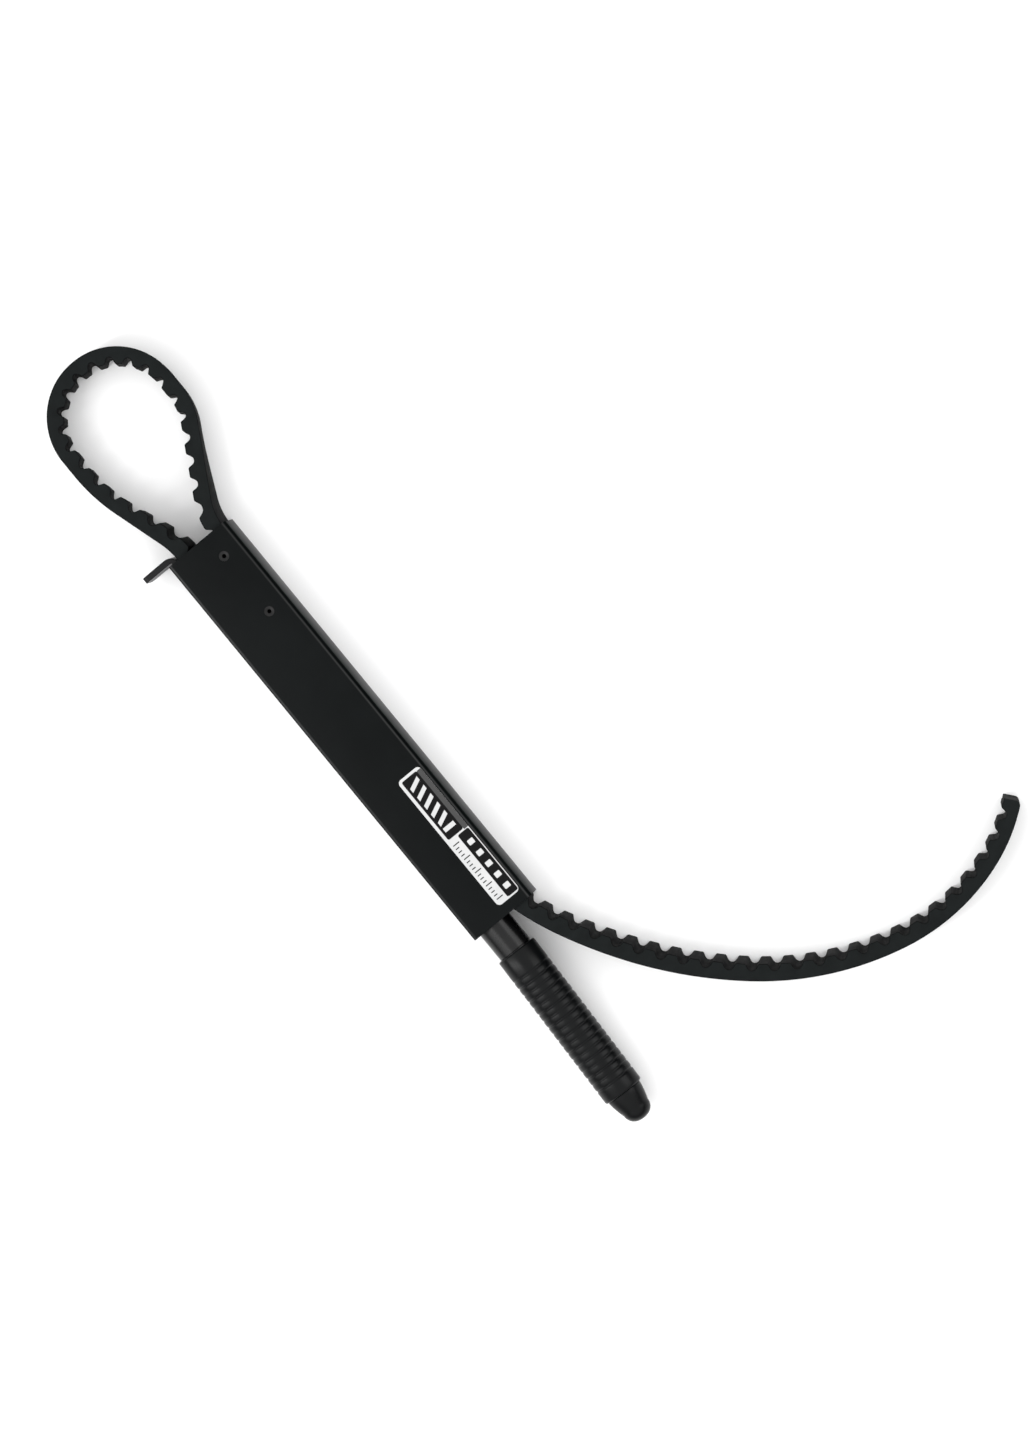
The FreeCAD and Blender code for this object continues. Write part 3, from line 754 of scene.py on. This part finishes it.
def rodOutline():
    # from the spigot's tip to the blind hole in the rear end: radius and place along Y
    r, rear, cut = rod["radius"], rod["rearRadius"], rod["chamfer"]
    spigot, neck = rod["spigot"], rod["spigot"] - rod["groove"]
    ringLow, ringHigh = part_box("retaining_ring")
    tip, front, back = rodHigh.y / mm, ringHigh.y / mm + rod["grooveRoom"], ringLow.y / mm
    shoulder, bend = washerLow.y / mm, rod["bendAt"]
    end = bend - rod["rearLength"]
    bore, bottom = rod["bore"], end + rod["boreDepth"]
    return [(0, tip), (neck, tip), (spigot, tip - rod["groove"]), (spigot, front), (neck, front),
            (neck, back), (spigot, back), (spigot, shoulder), (r - cut, shoulder), (r, shoulder - cut),
            (r, bend + rod["step"]), (rear, bend), (rear, end + cut), (rear - cut, end), (bore, end),
            (bore, bottom), (0, bottom)]


def makeRod():
    thing = turned("handleRod", [(a * mm, -b * mm) for a, b in rodOutline()], rod["sides"])
    pivot = Vector((0, rod["bendAt"] * mm, 0))
    for v in thing.data.vertices:
        if v.co.y < pivot.y - 0.2 * mm:
            v.co = pivot + leanTurn @ (v.co - pivot)
    placeMesh(thing, Matrix.Translation((spigotX, 0, rodZ)))
    # the flat for the slide bar, and the rivets' holes
    flatLow = (rodLow.x - past, barLow.y - mm, -past)
    flatHigh = (rod["flat"] * mm, washerLow.y + mm, housingHigh.z + past)
    cutters = [boxCutter(flatLow, flatHigh)]
    low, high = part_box("bar_rivets")
    rivet = (high.z - low.z) / 2
    for y in (high.y - rivet, low.y + rivet):
        cutters.append(cylinderCutter(rivet, (low.x, y, rodZ), (high.x, y, rodZ), 32))
    return softenEdges(carve(thing, cutters), 0.2 * mm, 2)


dress(makeRod(), "slider", glossBlack, "rod_gloss_black", "handle_rod")


grip = {
    "start": 0.35,                 # behind the rod's bend
    "length": 91.6,
    "radius": 11.2,
    "bore": 9.2,
    "collar": 13.0,                # smooth part at the front
    "ribs": 17,
    "ribPitch": 4.15,
    "crown": 0.06,                 # how far a rib's middle stands out
    "groove": 0.35,
    "shallow": 0.7,                # every second groove is only this deep
    "sides": 120,
}
grooveShape = [(0.28, 1.0), (0.5, 0.55), (0.75, 0.0)]     # half a groove: place, share of its depth


def gripOutline():
    # from the bore's front end over the outside and back: radius and place behind the bend
    start, end = grip["start"], grip["start"] + grip["length"]
    r, bore, crown = grip["radius"], grip["bore"], grip["crown"]
    points = [(bore, start + 0.3), (bore + 0.3, start), (r - 0.8, start), (r - 0.25, start + 0.2)]
    points.append((r, start + 0.75))
    for i in range(grip["ribs"] + 1):
        y = start + grip["collar"] + i * grip["ribPitch"]
        depth = grip["groove"] * (1.0 if i % 2 else grip["shallow"])
        side = [(r + crown * 0.6, 1.2)]
        side += [(r - depth * share, place) for place, share in grooveShape[::-1]]
        points += [(a, y - b) for a, b in side] + [(a, y + b) for a, b in side[::-1]]
        if i < grip["ribs"]:
            points.append((r + crown, y + grip["ribPitch"] / 2))
    points += [(r, end - 1.2), (r - 0.2, end - 0.5), (r - 0.7, end - 0.1), (r - 1.2, end), (bore, end)]
    return points + points[:1]


def makeGrip():
    thing = turned("gripSleeve", [(a * mm, b * mm) for a, b in gripOutline()], grip["sides"], 50)
    return placeMesh(thing, leanPlace)


dress(makeGrip(), "slider", gripRubber, "grip_rubber", "grip_sleeve")


cap = {
    "gap": 0.02,                   # behind the grip
    "radius": 9.85,
    "shoulder": 7.75,              # radius where the round nose starts
    "length": 17.0,
    "sidePart": 0.6,               # share of the length in front of the nose
    "sides": 96,
}


def capOutline():
    # slightly bowed sides, then a round nose
    start = grip["start"] + grip["length"] + cap["gap"]
    r, shoulder, length, part = cap["radius"], cap["shoulder"], cap["length"], cap["sidePart"]
    points = [(0, start), (r - 0.3, start), (r, start + 0.25)]
    for i in range(1, 12):
        t = i / 11
        points.append((r - (r - shoulder) * t ** 1.5, start + length * part * t))
    for i in range(1, 14):
        a = i / 14 * pi / 2
        points.append((shoulder * cos(a) ** 0.85, start + length * (part + (1 - part) * sin(a))))
    return points + [(0, start + length)]


def makeCap():
    thing = turned("gripEndCap", [(a * mm, b * mm) for a, b in capOutline()], cap["sides"], 50)
    return placeMesh(thing, leanPlace)


dress(makeCap(), "slider", gripRubber, "grip_rubber", "end_cap")
print("handle made")


# Pieces inside the housing and under it: merged copies of the CAD nodes with small rounded edges.
for node, name, body, finish, slotName, edge in (
        ("slide_bar", "slideBar", "slider", blackOxide, "black_oxide_steel", 0.3),
        ("bar_rivets", "barRivets", "slider", brightSteel, "bright_steel", 0.15),
        ("retaining_ring", "retainingRing", "slider", springSteel, "spring_steel", 0.12),
        ("spring_washer", "springWasher", "slider", brightSteel, "bright_steel", 0.12),
        ("stop_sleeve", "stopSleeve", "slider", bushPlastic, "bush_plastic", 0.1),
        ("toothed_anvil", "toothedAnvil", "root", blackOxide, "black_oxide_steel", 0.25),
        ("anvil_screws", "anvilScrews", "root", zincPlate, "zinc_screws", 0.12),
        ("spring_bracket", "springBracket", "root", blackOxide, "black_oxide_steel", 0.25),
        ("bracket_screws", "bracketScrews", "root", zincPlate, "zinc_screws", 0.12),
        ("rod_bush", "rodBush", "root", bushPlastic, "bush_plastic", 0.25),
        ("bush_screws", "bushScrews", "root", zincPlate, "zinc_screws", 0.12),
        ("guide_posts", "guidePosts", "root", brightSteel, "bright_steel", 0.15),
        ("post_screws", "postScrews", "root", zincPlate, "zinc_screws", 0.08)):
    dress(softCopy(node, name, edge * mm), body, finish, slotName, node)


spring = {
    "wire": 0.7,                   # radius of the wire
    "radius": 5.0,                 # of the coils, to the wire's middle
    "coils": 9,
    "stepsPerCoil": 28,
    "sides": 12,
}


def makeSpring():
    low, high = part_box("return_spring")
    wire, length = spring["wire"] * mm, high.y - low.y - 2 * spring["wire"] * mm
    bm = bmesh.new()
    ring = bmesh.ops.create_circle(bm, segments=spring["sides"], radius=wire)["verts"]
    bmesh.ops.rotate(bm, matrix=Matrix.Rotation(pi / 2, 3, "X"), verts=ring)
    bmesh.ops.rotate(bm, matrix=Matrix.Rotation(pi / 2, 3, "Z"), verts=ring)
    bmesh.ops.translate(bm, vec=(0, 0, spring["radius"] * mm), verts=ring)
    angle, steps = 2 * pi * spring["coils"], spring["coils"] * spring["stepsPerCoil"]
    bmesh.ops.spin(bm, geom=bm.verts[:] + bm.edges[:], cent=(0, 0, 0), axis=(0, 1, 0), angle=angle,
                   steps=steps, dvec=(0, length / steps, 0), use_merge=False)
    bmesh.ops.holes_fill(bm, edges=[e for e in bm.edges if e.is_boundary], sides=0)
    bmesh.ops.recalc_face_normals(bm, faces=bm.faces)
    shadeByAngle(bm, 50)
    bmesh.ops.translate(bm, vec=(spigotX, low.y + wire, rodZ), verts=bm.verts)
    thing = meshObject("returnSpring", bm)
    dress(thing, "root", springSteel, "spring_steel", "return_spring")
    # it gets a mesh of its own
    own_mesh(thing)


makeSpring()
print("inner parts made")


# A printed plate, white, with two blocks. Ahead: slanted bars on black beside a grey band.
# Behind: squares on black beside a white band with the ticks of a plain scale.
label = {
    "corner": 2.4,
    "ink": 0.03,
    "rearBlock": 42.0,             # length of the rear block
    "bars": {"count": 6, "first": 4.6, "pitch": 5.6, "length": 2.5, "slant": 0.45},
    "ticks": {"count": 17, "first": 3.2, "pitch": 2.2, "length": 0.55, "longEvery": 4},
    "squares": {"count": 5, "first": 4.6, "pitch": 7.2, "length": 3.0},
}


def panel(bm, x0, x1, y0, y1, z0, z1, corner, finish):
    # a thin rounded box, as one loose part of the label
    made = bmesh.ops.create_cube(bm, size=1)["verts"]
    bmesh.ops.scale(bm, vec=(x1 - x0, y1 - y0, z1 - z0), verts=made)
    bmesh.ops.translate(bm, vec=((x0 + x1) / 2, (y0 + y1) / 2, (z0 + z1) / 2), verts=made)
    upright = [e for e in {e for v in made for e in v.link_edges}
               if abs(e.verts[0].co.z - e.verts[1].co.z) > (z1 - z0) / 2]
    for face in {f for v in made for f in v.link_faces}:
        face.material_index = finish
    if corner > 0:
        bmesh.ops.bevel(bm, geom=upright, offset=corner, segments=6, profile=0.5, affect="EDGES",
                        material=-1)


def makeLabel():
    white, black, grey = range(3)
    low, high = labelLow / mm, labelHigh / mm
    top, ink = high.z, label["ink"]
    paper, raised = top - ink, top + ink * 0.4
    split = low.y + label["rearBlock"]
    bm = bmesh.new()
    panel(bm, low.x, high.x, low.y, high.y, low.z, paper, label["corner"], white)
    panel(bm, low.x + 1.7, high.x - 2.7, split + 0.6, high.y - 1.5, paper, top, 1.0, black)
    panel(bm, high.x - 2.7, high.x, split, high.y - 1.7, paper, top, 0.3, grey)
    panel(bm, low.x + 6.9, high.x - 0.45, low.y + 0.9, split - 0.4, paper, top, 1.0, black)
    bars = label["bars"]
    for i in range(bars["count"]):
        y = split + bars["first"] + i * bars["pitch"]
        before = len(bm.verts)
        panel(bm, low.x + 3.2, high.x - 4.3, y, y + bars["length"], top, raised, 0, white)
        bm.verts.ensure_lookup_table()
        for v in bm.verts[before:]:
            v.co.y += (v.co.x - low.x - 7.0) * bars["slant"]
    ticks = label["ticks"]
    for i in range(ticks["count"]):
        y = low.y + ticks["first"] + i * ticks["pitch"]
        reach = 3.8 if i % ticks["longEvery"] else 5.6
        panel(bm, low.x + 1.6, low.x + reach, y, y + ticks["length"], paper, top, 0, black)
    squares = label["squares"]
    for i in range(squares["count"]):
        y = low.y + squares["first"] + i * squares["pitch"]
        panel(bm, low.x + 8.7, high.x - 2.2, y, y + squares["length"], top, raised, 0.4, white)
    bmesh.ops.scale(bm, vec=(mm, mm, mm), verts=bm.verts)
    shadeByAngle(bm, 30)
    return meshObject("labelPlate", bm)


dress(makeLabel(), "root", [labelWhite, labelBlack, labelGrey], "label_print", "label_plate")
print("label made")
